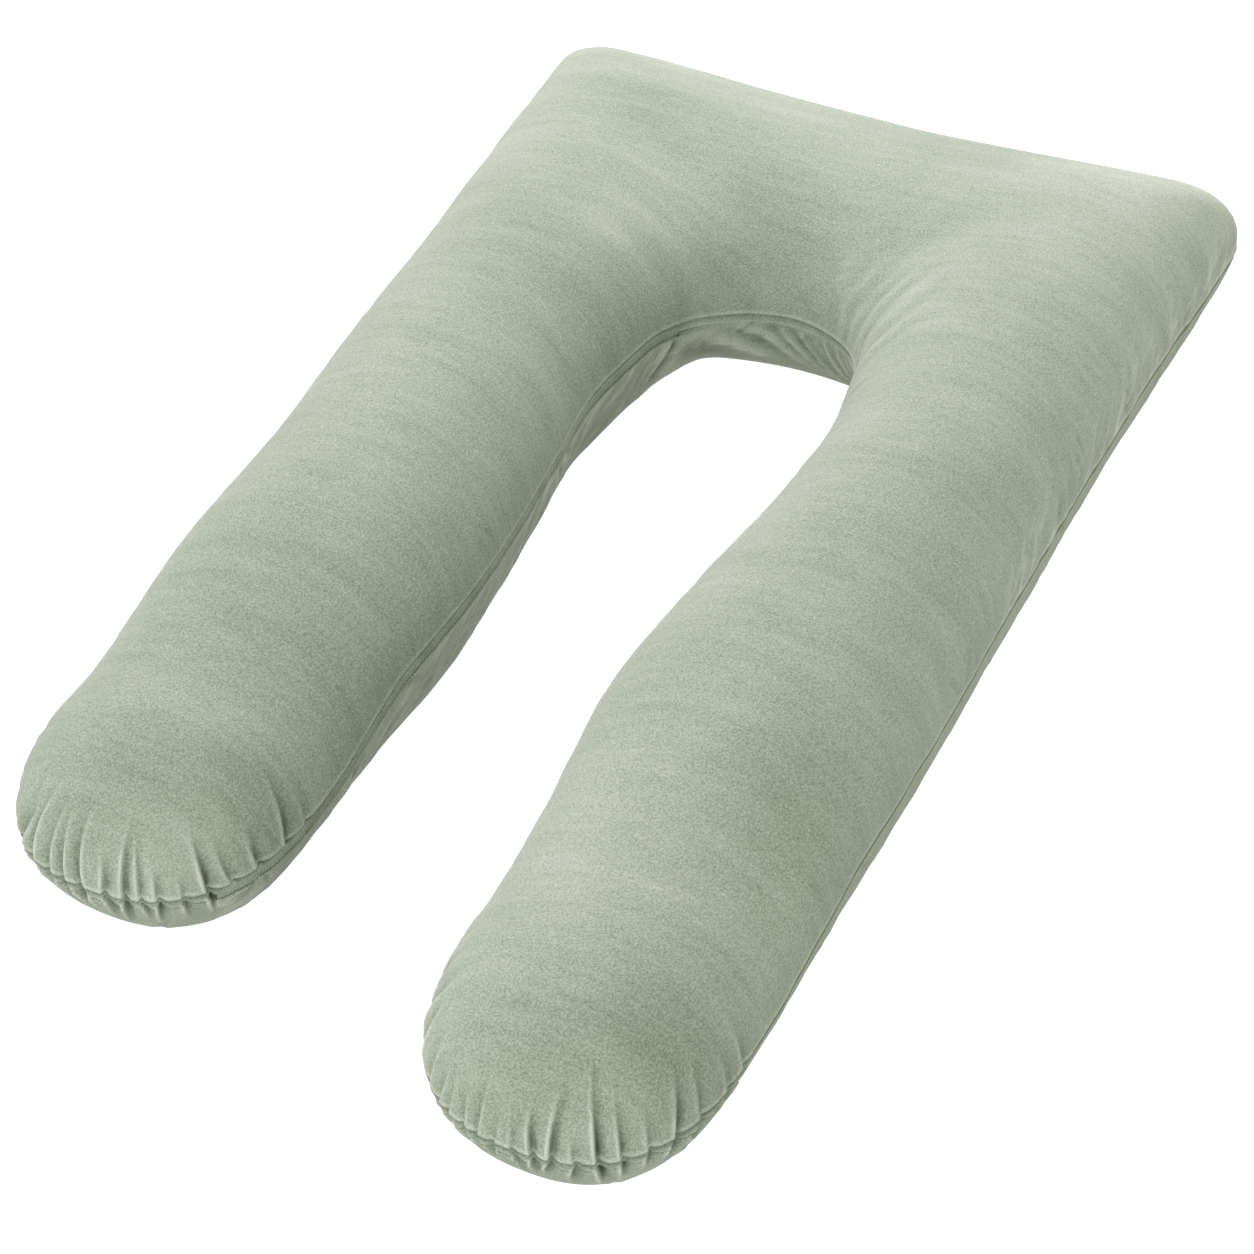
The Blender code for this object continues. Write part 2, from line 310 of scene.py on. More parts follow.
def section_grid(loop):
    """Points of all sections, and each point's distance from the seam, minus below it."""
    half = np.linalg.norm(loop.edge - loop.middle, axis=1)
    quarter = np.linspace(0, math.pi / 2, CURVE_SAMPLES)
    out_low = FLAT_SHARE + (1 - FLAT_SHARE) * np.cos(quarter)
    up_low = 1 - np.sin(quarter) ** LOWER_POWER
    below = np.array(BELOW_SEAM_MM) * MM
    above = np.array(ABOVE_SEAM_MM) * MM
    under = np.linspace(0, 1, RINGS_UNDER + 1)[1:] ** RING_GROWTH
    over = np.linspace(0, 1, RINGS_OVER + 1)[1:] ** RING_GROWTH
    grid = []
    runs = []
    for i in range(loop.count):
        low = np.column_stack([half[i] * out_low, loop.seam_z[i] * up_low])
        low = np.vstack([low, [[0.0, 0.0]]])
        rise = loop.crown[i] * np.sin(quarter) ** loop.power[i]
        high = np.column_stack([half[i] * np.cos(quarter), loop.seam_z[i] + rise])
        low_run = lengths_along(low)
        high_run = lengths_along(high)
        low_at = np.concatenate([below, below[-1] + under * (low_run[-1] - below[-1])])
        high_at = np.concatenate([above, above[-1] + over * (high_run[-1] - above[-1])])
        low_points = np.column_stack([np.interp(low_at, low_run, column) for column in low.T])
        high_points = np.column_stack([np.interp(high_at, high_run, column) for column in high.T])
        grid.append(np.vstack([low_points[::-1], low[:1], high_points]))
        runs.append(np.concatenate([-low_at[::-1], [0.0], high_at]))
    grid = np.array(grid)
    share_out = grid[:, :, 0] / half[:, None]
    reach = (loop.edge - loop.middle)[:, None, :]
    plan = loop.middle[:, None, :] + reach * share_out[:, :, None]
    return np.dstack([plan, grid[:, :, 1]]), np.array(runs)


def grid_normals(points, loop):
    """Outward unit normals of the closed grid of sections, straight up along the middle line."""
    round_seam = np.roll(points, -1, axis=0) - np.roll(points, 1, axis=0)
    up_section = np.gradient(points, axis=1)
    normals = np.cross(round_seam, up_section)
    size = np.linalg.norm(normals, axis=2, keepdims=True)
    normals /= np.maximum(size, TINY)
    core = np.dstack([
        np.broadcast_to(loop.middle[:, None, :], points.shape[:2] + (2,)),
        np.broadcast_to(loop.seam_z[:, None], points.shape[:2]),
    ])
    wrong = ((points - core) * normals).sum(axis=2) < 0
    normals[wrong] *= -1
    normals[:, -1] = (0.0, 0.0, 1.0)
    return normals


# Gathers at the tips: each is a steep ridge, with a valley on the side away from the tip's middle.
GATHER_WIDEST = 0.028
GATHER_DEPTH = (0.0030, 0.0092)
GATHER_REACH_UP = (0.026, 0.085)
GATHER_REACH_DOWN = (0.024, 0.046)
GATHER_SLANT = 0.20
GATHER_BEND = 0.16
# They keep their depth over the middle share of a tip, and have less of it at its sides.
DEEP_SHARE = 0.5
DEPTH_AT_SIDES = 0.45
# Across a gather, in shares of its width. It acts on points up to GATHER_NEAR widths away.
SHARP_SIDE = 0.095
SOFT_SIDE = 0.27
VALLEY_SOFT = 0.20
CREST_AT = -0.175
CREST_WIDTH = 0.08
GATHER_NEAR = 4
# Along a gather: how it starts at the seam, widens and dies out.
CREST_HEIGHT = 0.34
CREST_STARTS = 0.0080
DEPTH_AT_SEAM = 0.36
FULL_DEPTH_AT = 0.012
GATHER_WIDENS = 0.5
GATHER_FADE_POWER = 1.3
BELOW_GAIN = 1.5
# Painted sheen on each gather's crest and painted shade in its valley, added to the pile's tone.
CREST_PAINTED_SHEEN = 0.95
VALLEY_PAINTED_SHADE = -0.34
# The seam's scallops: it is drawn up at each gather and sags a little between them.
LOBE_RISE = (0.0012, 0.0052)
LOBE_SHARP = 0.07
LOBE_SOFT = 0.17
LOBE_FADE = 0.014
LOBE_SAG = 0.0012
# The turned-in band under the seam of a tip, which narrows at each gather.
BAND_WIDTH = 0.0112
BAND_STARTS = 0.0008
BAND_EDGE = 0.001
BAND_PINCH = 0.62
BAND_GROOVE = 0.0030
BAND_GROOVE_HALF = 0.0011
BAND_CRIMP = 0.00028
BAND_CRIMP_PITCH = 0.0030
# Painted shade along the groove under the band.
BAND_GROOVE_PAINTED_SHADE = -0.75
BAND_TONE = 0.08
BAND_END_POWER = 0.4


def gathers(loop):
    """One entry for each place where a tip's cloth is drawn in, with its size and lean."""
    rng = random.Random(11)
    found = []
    for leg in LEGS:
        left = leg["side"] < 0
        places = [loop.s_at_tip(left, share) for share in leg["gathers"]]
        middle = loop.s_at_tip(left, 0.5)
        half = abs(loop.s_at_tip(left, 0.0) - middle)
        for k, place in enumerate(places):
            near = [abs(place - other) for other in places[max(0, k - 1):k + 2] if other != place]
            found.append({
                "s": place,
                "width": min(GATHER_WIDEST, sum(near) / len(near)),
                "depth": rng.uniform(*GATHER_DEPTH) * np.interp(
                    abs(place - middle), (DEEP_SHARE * half, half), (1, DEPTH_AT_SIDES)
                ),
                "up": rng.uniform(*GATHER_REACH_UP),
                "down": rng.uniform(*GATHER_REACH_DOWN),
                "slant": rng.uniform(-GATHER_SLANT, GATHER_SLANT),
                "bend": rng.uniform(-GATHER_BEND, GATHER_BEND),
                "rise": rng.uniform(*LOBE_RISE),
                "lean": 1 if place > middle else -1,
            })
    return found


def lopsided(x, sharp, soft):
    """A bump of height 1 at x = 0, steep towards minus x and gentle towards plus x."""
    return np.exp(-(x / np.where(x < 0, sharp, soft)) ** 2)


def gather_relief(loop, runs, places):
    """How far the gathers move each point along its normal and lift the seam, and their painted
    sheen and shade.
    """
    relief = np.zeros_like(runs)
    tone = np.zeros_like(runs)
    lift = np.zeros(loop.count)
    pinch = np.zeros(loop.count)
    s = loop.s[:, None]
    for place in places:
        near = np.abs(loop.s - place["s"]) < GATHER_NEAR * place["width"]
        run = runs[near]
        beyond = np.where(run > 0, run, np.maximum(-run - BAND_WIDTH / 2, 0.0))
        share = np.clip(beyond / np.where(run > 0, place["up"], place["down"]), 0, 1)
        width = place["width"] * (1 + GATHER_WIDENS * share)
        bent = place["slant"] * run + place["bend"] * place["width"] * np.sin(math.pi * share)
        x = place["lean"] * (s[near] - place["s"] - bent) / width
        crest = np.exp(-((x - CREST_AT) / CREST_WIDTH) ** 2)
        crest *= np.clip(np.abs(run) / CREST_STARTS, 0, 1)
        fade = (1 - share) ** GATHER_FADE_POWER
        fade *= np.where(run > 0, 1.0, np.clip(-run / BAND_WIDTH, 0, 1))
        fade *= np.interp(np.abs(run), (0, FULL_DEPTH_AT), (DEPTH_AT_SEAM, 1))
        fade[run < 0] *= BELOW_GAIN
        relief[near] += place["depth"] * fade * (
            CREST_HEIGHT * crest - lopsided(x, SHARP_SIDE, SOFT_SIDE)
        )
        strength = fade * place["depth"] / GATHER_DEPTH[1]
        valley = lopsided(x, SHARP_SIDE, VALLEY_SOFT)
        # Painted sheen on the crest and painted shade in the valley.
        tone[near] += strength * (CREST_PAINTED_SHEEN * crest + VALLEY_PAINTED_SHADE * valley)
        at_seam = place["lean"] * (loop.s[near] - place["s"]) / place["width"]
        bump = np.exp(-np.abs(at_seam) / np.where(at_seam < 0, LOBE_SHARP, LOBE_SOFT))
        lift[near] += place["rise"] * bump
        pinch[near] = np.maximum(pinch[near], bump)
    on_tip = np.zeros(loop.count)
    tips = np.concatenate([loop.tip(False), loop.tip(True)])
    on_tip[tips] = np.sin(math.pi * loop.tip_share[tips]) ** BAND_END_POWER
    band_at = -BAND_WIDTH * (1 - BAND_PINCH * pinch)
    groove = np.exp(-((runs - band_at[:, None]) / BAND_GROOVE_HALF) ** 2)
    in_band = np.clip((runs - band_at[:, None]) / BAND_EDGE, 0, 1) * (runs < -BAND_STARTS)
    crimp = BAND_CRIMP * np.sin(2 * math.pi * loop.s / BAND_CRIMP_PITCH)
    relief += on_tip[:, None] * (crimp[:, None] * in_band - BAND_GROOVE * groove)
    # Painted shade in the band's groove, and the band's own tone.
    tone += on_tip[:, None] * (BAND_GROOVE_PAINTED_SHADE * groove + BAND_TONE * in_band)
    kept = 1 - on_placket(loop, END_FADE)[:, None] * (runs < 0)
    return relief * kept, lift - LOBE_SAG * on_tip, tone * kept


# Folds near the arch: metres along the seam from its middle, plus towards the left leg, and
# metres up from the seam, minus under it. A fold of minus depth is a ridge.
FOLDS = (
    # from, to, half-width, depth
    ((0.014, -0.014), (-0.034, -0.098), 0.0052, -0.0034),
    ((-0.006, -0.012), (-0.038, -0.098), 0.0040, -0.0032),
    ((-0.036, -0.008), (-0.047, -0.082), 0.0030, -0.0028),
    ((-0.056, -0.004), (-0.060, -0.066), 0.0028, -0.0024),
    ((-0.074, -0.004), (-0.074, -0.056), 0.0028, -0.0018),
    ((0.034, -0.020), (-0.022, -0.094), 0.0070, -0.0026),
    ((0.078, -0.032), (0.016, -0.078), 0.0095, -0.0034),
    ((0.064, -0.014), (0.000, -0.040), 0.0090, -0.0014),
    ((0.120, -0.016), (0.148, -0.074), 0.0080, 0.0044),
    ((0.134, -0.016), (0.160, -0.070), 0.0070, -0.0020),
    ((0.124, -0.030), (0.046, -0.104), 0.0160, 0.0026),
    ((0.158, -0.022), (0.180, -0.080), 0.0060, -0.0020),
    ((-0.058, 0.008), (-0.044, 0.075), 0.0080, 0.0012),
    ((-0.080, 0.006), (-0.068, 0.095), 0.0085, 0.0016),
    ((-0.106, 0.014), (-0.078, 0.120), 0.0100, 0.0020),
    ((-0.136, 0.026), (-0.094, 0.140), 0.0100, 0.0018),
    ((-0.172, 0.040), (-0.118, 0.150), 0.0100, 0.0018),
    ((-0.214, 0.050), (-0.150, 0.145), 0.0110, 0.0012),
)

# Small slanting wrinkles scattered beside the seam. The last column is the least and greatest
# angle to the seam, in degrees.
WRINKLES = (
    # where, how many, length, half-width, depth, distance from the seam, angle
    ("flank", 34, (0.040, 0.110), (0.0040, 0.0080), (0.0003, 0.0010), (0.006, 0.100), (55, 85)),
    ("over", 120, (0.020, 0.060), (0.0024, 0.0046), (0.0004, 0.0012), (0.002, 0.045), (40, 80)),
    ("under", 150, (0.020, 0.060), (0.0028, 0.0050), (0.0006, 0.0018), (0.004, 0.060), (25, 70)),
    ("outer", 30, (0.030, 0.048), (0.0068, 0.0092), (0.0007, 0.0015), (0.002, 0.008), (38, 62)),
    ("placket", 30, (0.040, 0.095), (0.0060, 0.0090), (0.0006, 0.0016), (0.018, 0.060), (20, 48)),
)

# Where three of these families lie along the seam: the flank's from the arch's middle, the outer
# one, on the right leg, from the head's middle, and the placket's from its two ends.
FLANK_SPAN = (-0.30, -0.05)
OUTER_SPAN = (0.24, 1.12)
PLACKET_SPAN = (-0.02, -0.06)
# A fold acts on points up to this many half-widths past its ends, and tapers with this power.
FOLD_NEAR = 4
FOLD_TAPER = 0.7


def add_fold(relief, loop, runs, start, end, half_width, depth):
    """Presses one fold into the relief, with a low ridge on each side, tapered at both ends."""
    centre = (start[0] + end[0]) / 2
    gap = (loop.s - centre + loop.total / 2) % loop.total - loop.total / 2
    length = math.hypot(end[0] - start[0], end[1] - start[1])
    near = np.abs(gap) < length / 2 + FOLD_NEAR * half_width
    x = gap[near][:, None] + centre - start[0]
    y = runs[near] - start[1]
    ux, uy = (end[0] - start[0]) / length, (end[1] - start[1]) / length
    t = np.clip((x * ux + y * uy) / length, 0, 1)
    off = (x * uy - y * ux) / half_width
    taper = np.sin(math.pi * t) ** FOLD_TAPER
    relief[near] -= depth * taper * (1 - off ** 2) * np.exp(-0.5 * off ** 2)


def fold_relief(loop, runs):
    """The named folds and the scattered wrinkles."""
    relief = np.zeros_like(runs)
    middle = loop.s_at_inner(False, 1.0)
    for start, end, half_width, depth in FOLDS:
        ends = [(middle + point[0], point[1]) for point in (start, end)]
        add_fold(relief, loop, runs, ends[0], ends[1], half_width, depth)
    rng = random.Random(29)
    head_end, tip_end = placket_ends(loop)
    spans = {
        "placket": (head_end + PLACKET_SPAN[0], tip_end + PLACKET_SPAN[1]),
        "flank": (middle + FLANK_SPAN[0], middle + FLANK_SPAN[1]),
        "outer": OUTER_SPAN,
    }
    for where, count, lengths, half_widths, depths, far, angles in WRINKLES:
        for _ in range(count):
            length = rng.uniform(*lengths)
            turn = math.radians(rng.uniform(*angles))
            s = rng.uniform(0, loop.total)
            side = -1 if where in ("under", "placket") else 1
            if where in spans:
                s = rng.uniform(*spans[where])
            if where == "outer" or (where in ("over", "under") and rng.random() < 0.5):
                turn = math.pi - turn
            up = side * (far[0] + (far[1] - far[0]) * rng.random() ** 2)
            end = (s + length * math.cos(turn), up + side * length * math.sin(turn))
            half_width = rng.uniform(*half_widths)
            add_fold(relief, loop, runs, (s, up), end, half_width, rng.uniform(*depths))
    return relief


# The seam's groove, the rolled edge above it, and the cloth's large unevenness.
SEAM_DEPTH = 0.0020
SEAM_HALF_WIDTH = 0.0013
SEAM_POWER = 1.3
ROLL_HEIGHT = 0.0010
ROLL_AT = 0.0034
ROLL_HALF_WIDTH = 0.0026
RUMPLE = (
    # waves per metre along X, Y and Z, height
    ((5.0, 5.0, 5.0), 0.0022),
    ((13.0, 13.0, 13.0), 0.0009),
    ((6.0, 34.0, 6.0), 0.0007),
    ((10.0, 75.0, 10.0), 0.00022),
)

# The placket's ends: shares of the way round the left tip, and up the leg and round the arch.
PLACKET_TIP_SHARE = 0.735
PLACKET_HEAD_SHARE = 0.66
END_FADE = 0.004
# Lines pressed under it: distance below the seam, half-width, depth. They run on past its end.
EDGE_LINE = (0.0104, 0.0009, 0.0016)
STITCH_LINE = (0.0128, 0.0006, 0.0005)
FOLD_LINE = (0.0148, 0.0010, 0.0013)
GROOVES_RUN_ON = 0.055


def placket_ends(loop):
    """Seam distances of the placket's head end and tip end."""
    head_end = loop.s_at_inner(True, PLACKET_HEAD_SHARE)
    return head_end, loop.s_at_tip(True, PLACKET_TIP_SHARE)


def on_placket(loop, fade_at_head):
    """1 along the placket and 0 elsewhere, fading past its head end and at its tip end."""
    head_end, tip_end = placket_ends(loop)
    inside = np.clip((loop.s - head_end + fade_at_head) / fade_at_head, 0, 1)
    return inside * np.clip((tip_end + END_FADE - loop.s) / (2 * END_FADE), 0, 1)


# Painted shade and sheen beside the seam: dark lines of painted shade in its groove and under it,
# and lines of painted sheen on its rolled edge and below. Distance from it, half-width, tone. The
# second table is the placket's: painted shadow under its edge and its fold, and a painted highlight
# below.
SEAM_PAINTED_SHADE_AND_SHEEN = (
    (-0.0008, 0.0022, -0.90),
    (0.0040, 0.0014, 0.40),
    (-0.0046, 0.0014, -0.22),
    (-0.0080, 0.0016, 0.20),
)
PLACKET_PAINTED_SHADE_AND_HIGHLIGHT = (
    (-0.0110, 0.0010, -0.80),
    (-0.0148, 0.0010, -0.60),
    (-0.0168, 0.0010, 0.20),
)
# Painted shade and highlight of a fold by its height: from the deepest to the highest.
FOLD_HEIGHTS = (-0.006, 0.003)
FOLD_PAINTED_SHADE_AND_HIGHLIGHT = (-0.34, 0.17)
# The walls under the inner seams, from near the tips on, get a little painted light, and the
# painted shade and highlights of their folds are stronger.
WALL_PAINTED_LIGHT = 0.03
WALL_FOLD_SHADE_GAIN = 3.0
WALL_STARTS = 0.004
WALL_FROM_ROOT = 0.06
# Creases above the seam over OUTER_SPAN, their ridges lightened as a painted highlight: how they
# fade at its ends, start and rise.
OUTER_ENDS = 0.06
CREASES_START = 0.003
CREASES_REACH = 0.036
# The same under the placket, from its lower edge down.
PLACKET_FOOT = 0.017
WALL_CREASES_REACH = 0.070
# The seam's dark lines of painted shade are fainter along the inner sides, round the arch and at
# the tips.
SEAM_SHADE_INSIDE = 0.28
SEAM_SHADE_AT_TIPS = 0.50
# Painted shade over the left leg's inner side, which faces away from the lamps.
INNER_SIDE_PAINTED_SHADE = -0.20
INNER_SIDE_SHADE_REACH = 0.072
INNER_SIDE_SHADE_FADE = 2.0
# Patches on the upper side, partly brushed pile and partly painted shade of soft dents and painted
# highlights: middle x and y, radius, and how much lighter or darker.
PILE_AND_PAINTED_PATCHES = (
    (-0.21, -0.55, 0.060, -0.12),
    (-0.11, -0.50, 0.045, -0.24),
    (-0.17, -0.625, 0.050, 0.06),
    (0.22, -0.68, 0.070, -0.08),
    (0.30, -0.62, 0.050, -0.16),
    (0.17, -0.48, 0.110, 0.14),
    (0.31, -0.48, 0.050, -0.04),
    (0.33, -0.38, 0.080, -0.06),
    (0.29, 0.61, 0.120, 0.18),
    (-0.24, 0.25, 0.090, -0.14),
    (-0.02, 0.33, 0.070, -0.13),
    (-0.12, 0.32, 0.090, 0.08),
    (-0.17, 0.28, 0.040, 0.16),
    (-0.24, 0.52, 0.070, -0.12),
    (-0.26, 0.68, 0.090, 0.14),
)
PATCHES_ABOVE = 0.12


def painted_shade_and_highlights(loop, runs, folds, gathered):
    """Painted shade and highlights of the pile at each point: in folds and gathers, along the seam
    and the placket, over the inner walls and the left leg's inner side.
    """
    wall = np.zeros(loop.count)
    inner_side_shade = np.zeros(loop.count)
    for left in (False, True):
        inner = loop.inner(left)
        wall[inner] = np.clip(loop.share[inner] / WALL_FROM_ROOT, 0, 1)
        if left:
            inner_side_shade[inner] = wall[inner] * np.clip(INNER_SIDE_SHADE_FADE * (1 - loop.share[inner]), 0, 1)
    seam_shade_shows = 1 + (SEAM_SHADE_INSIDE - 1) * wall
    seam_shade_shows[loop.tip_share >= 0] = SEAM_SHADE_AT_TIPS
    seam_shade_shows = seam_shade_shows[:, None]
    wall = wall[:, None] * np.clip(-runs / WALL_STARTS, 0, 1)
    # Painted shade in the folds' hollows and painted highlights on their ridges, stronger on the
    # walls.
    tone = np.interp(folds, FOLD_HEIGHTS, FOLD_PAINTED_SHADE_AND_HIGHLIGHT) * (1 + (WALL_FOLD_SHADE_GAIN - 1) * wall)
    tone += gathered + WALL_PAINTED_LIGHT * wall
    # Painted shade over the left leg's inner side.
    tone += INNER_SIDE_PAINTED_SHADE * inner_side_shade[:, None] * (runs > 0) * np.exp(-((runs / INNER_SIDE_SHADE_REACH) ** 2))
    # Painted shade and sheen along the seam, and painted shade and a highlight under the placket.
    for at, half_width, amount in SEAM_PAINTED_SHADE_AND_SHEEN:
        shows = seam_shade_shows if amount < 0 else 1.0
        tone += amount * shows * np.exp(-((runs - at) / half_width) ** 2)
    on_strip = on_placket(loop, GROOVES_RUN_ON)[:, None]
    for at, half_width, amount in PLACKET_PAINTED_SHADE_AND_HIGHLIGHT:
        tone += amount * on_strip * np.exp(-((runs - at) / half_width) ** 2)
    return tone


def patch_tone_and_painted_shade(points):
    """Broad patches of lighter or darker tone: partly brushed pile, partly painted shade and
    highlights.
    """
    tone = np.zeros(points.shape[:2])
    above = np.clip(points[:, :, 2] / PATCHES_ABOVE, 0, 1)
    for x, y, radius, amount in PILE_AND_PAINTED_PATCHES:
        away = np.hypot(points[:, :, 0] - x, points[:, :, 1] - y) / radius
        tone += amount * above * np.exp(-(away ** 2))
    return tone


def crease_share(loop, runs):
    """How much each point takes of the creases beside the outer seam and under the placket."""
    start, end = OUTER_SPAN
    along_side = np.clip(np.minimum(loop.s - start, end - loop.s) / OUTER_ENDS, 0, 1)[:, None]
    rise = np.clip(runs / CREASES_START, 0, 1)
    over = along_side * rise * np.exp(-((runs / CREASES_REACH) ** 2))
    beside = on_placket(loop, GROOVES_RUN_ON)[:, None]
    below = np.clip((-runs - PLACKET_FOOT) / CREASES_START, 0, 1)
    return over + beside * below * np.exp(-((runs / WALL_CREASES_REACH) ** 2))


def seam_relief(loop, runs):
    """The drawn-in seam with its rolled upper edge, and the sewn lines under the placket."""
    groove = -SEAM_DEPTH * np.exp(-(np.abs(runs) / SEAM_HALF_WIDTH) ** SEAM_POWER)
    roll = ROLL_HEIGHT * np.exp(-((runs - ROLL_AT) / ROLL_HALF_WIDTH) ** 2)
    lines = np.zeros_like(runs)
    for below, half_width, depth in (EDGE_LINE, STITCH_LINE, FOLD_LINE):
        lines += depth * np.exp(-((runs + below) / half_width) ** 2)
    return groove + roll - lines * on_placket(loop, GROOVES_RUN_ON)[:, None]


def rumple(points):
    """Low, slow unevenness of a filled cover."""
    flat = points.reshape(-1, 3)
    total = np.zeros(len(flat))
    for frequency, height in RUMPLE:
        total += [height * noise.noise(point) for point in (flat * frequency).tolist()]
    return total.reshape(points.shape[:2])


# Points this low rest on the floor and stay there.
FLOOR_WITHIN = 1e-6


def cover_points(loop):
    """The cover's points, the same without seam and folds, the pile's tones, mostly painted shade
    and highlights, with its share of creases, and the runs.
    """
    points, runs = section_grid(loop)
    normals = grid_normals(points, loop)
    gathered, lift, gather_painted_light = gather_relief(loop, runs, gathers(loop))
    folds = gathered + fold_relief(loop, runs)
    folds[:, -1] = 0.0
    plain = points + normals * rumple(points)[:, :, None]
    plain[:, :, 2] += lift[:, None] * np.exp(-np.abs(runs) / LOBE_FADE)
    moved = plain + normals * (folds + seam_relief(loop, runs))[:, :, None]
    on_floor = points[:, :, 2] <= FLOOR_WITHIN
    moved[on_floor] = points[on_floor]
    moved[:, :, 2] = np.maximum(moved[:, :, 2], 0.0)
    tones = painted_shade_and_highlights(loop, runs, folds, gather_painted_light) + patch_tone_and_painted_shade(points)
    return moved, plain, np.stack((tones, crease_share(loop, runs)), axis=2), runs


def piece(name, mesh, material, replaced=None):
    """Makes a smooth object of a bmesh and ties it to the frame."""
    bmesh.ops.recalc_face_normals(mesh, faces=mesh.faces)
    data = bpy.data.meshes.new(name)
    mesh.to_mesh(data)
    mesh.free()
    data.materials.append(material)
    for polygon in data.polygons:
        polygon.use_smooth = True
    made = bpy.data.objects.new(name, data)
    bpy.context.scene.collection.objects.link(made)
    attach(made, "root")
    if replaced:
        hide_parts(replaced)
    return made


# The sections meet along the middle lines, where points this close become one.
MERGE = 0.00002


def build_cover(points, tones, material):
    """The velvet cover, one closed skin, which keeps each point's tone, mostly painted shade and
    highlights, and share of creases.
    """
    mesh = bmesh.new()
    tone_layer = mesh.verts.layers.float.new("tone")
    crease_layer = mesh.verts.layers.float.new("creases")
    grid = []
    for ring, ring_tones in zip(points, tones):
        grid.append([mesh.verts.new(point) for point in ring])
        for vertex, (tone, crease) in zip(grid[-1], ring_tones.tolist()):
            vertex[tone_layer] = tone
            vertex[crease_layer] = crease
    for here, ahead in zip(grid, grid[1:] + grid[:1]):
        for low in range(len(here) - 1):
            mesh.faces.new((here[low], ahead[low], ahead[low + 1], here[low + 1]))
    bmesh.ops.remove_doubles(mesh, verts=mesh.verts, dist=MERGE)
    made = piece("velvet_cover", mesh, material, "pillow")


# Step for finding directions on the cover.
LOOK_BESIDE = 1.5 * MM


class Panel:
    """Looks up places on the cover, as it is without seam and folds, by seam distance and run."""

    def __init__(self, loop, points, runs):
        order = np.argsort(loop.s)
        self.s = loop.s[order]
        self.points = points[order]
        self.runs = runs[order]

    def at(self, s, run):
        """Points on the cover at the seam distances s, all at one run from the seam."""
        low = np.searchsorted(self.s, s.min()) - 2
        high = np.searchsorted(self.s, s.max()) + 3
        here = np.array([
            [np.interp(run, self.runs[i], self.points[i, :, axis]) for axis in range(3)]
            for i in range(low, high)
        ])
        return np.column_stack([np.interp(s, self.s[low:high], here[:, axis]) for axis in range(3)])

    def outward(self, s, run):
        """Outward unit normals at those places."""
        here = self.at(s, run)
        up = self.at(s, run + LOOK_BESIDE) - self.at(s, run - LOOK_BESIDE)
        ahead = np.gradient(here, axis=0)
        normal = np.cross(ahead, up)
        normal /= np.linalg.norm(normal, axis=1)[:, None]
        inside = np.array([np.interp(s, self.s, self.points[:, 0, axis]) for axis in range(3)]).T
        inside[:, 2] = here[:, 2]
        flip = ((here - inside) * normal).sum(axis=1) < 0
        normal[flip] *= -1
        return normal


# Section of the placket: distance below the seam and lift off the cover, in millimetres.
PLACKET_SECTION_MM = (
    (0.5, -2.4), (0.7, -0.8), (1.1, 0.4), (2.0, 1.0), (3.5, 1.3), (5.5, 1.4), (7.5, 1.45),
    (8.9, 1.35), (9.6, 1.0), (9.8, 0.6), (9.4, 0.3), (8.0, 0.2), (5.0, 0.2), (2.2, 0.0),
    (1.1, -1.0), (0.6, -2.7),
)
# The lift is along the cover's normal at this distance below the seam.
PLACKET_MIDDLE_MM = 5.0
PLACKET_STEP = 0.0007
# Ribs cross the section's points that are lifted more than this.
PLACKET_OUTER_MM = 0.9
RIB_PITCH = 0.0027
RIB_HEIGHT = 0.00022


def build_placket(panel, ends, material):
    """The ribbed strip that hangs from the seam over the opening."""
    count = int(abs(ends[1] - ends[0]) / PLACKET_STEP)
    s = np.linspace(ends[0], ends[1], count)
    normal = panel.outward(s, -PLACKET_MIDDLE_MM * MM)
    rib = RIB_HEIGHT * np.sin(2 * math.pi * s / RIB_PITCH)
    rows = []
    for below, lift in PLACKET_SECTION_MM:
        height = lift * MM + rib * (lift > PLACKET_OUTER_MM)
        rows.append(panel.at(s, -below * MM) + normal * height[:, None])
    mesh = bmesh.new()
    rib_layer = mesh.verts.layers.float.new("rib")
    grid = [[mesh.verts.new(point) for point in row] for row in rows]
    for row in grid:
        for vertex, height in zip(row, rib):
            vertex[rib_layer] = height / RIB_HEIGHT
    for here, ahead in zip(grid, grid[1:] + grid[:1]):
        for k in range(count - 1):
            mesh.faces.new((here[k], here[k + 1], ahead[k + 1], ahead[k]))
    mesh.faces.new([row[0] for row in grid])
    mesh.faces.new([row[-1] for row in grid][::-1])
    piece("placket_strip", mesh, material, "zip_placket")


# Stitches: a short thread with tapered ends.
STITCH_LENGTH = 0.0027
STITCH_PITCH = 0.0040
STITCH_RADIUS = 0.00034
STITCH_SIDES = 6
STITCH_RISE = 0.4 * STITCH_RADIUS


def add_stitch(mesh, centre, direction, normal, length, radius):
    """Adds one stitch, a low ellipsoid of thread, to a mesh."""
    side = direction.cross(normal).normalized()
    turn = Matrix((direction, side, normal)).transposed().to_4x4()
    size = Matrix.Diagonal((length / 2, radius, radius, 1.0))
    bmesh.ops.create_uvsphere(
        mesh, u_segments=STITCH_SIDES, v_segments=STITCH_SIDES, radius=1.0,
        matrix=Matrix.Translation(centre) @ turn @ size @ Matrix.Rotation(math.pi / 2, 4, "Y"),
    )


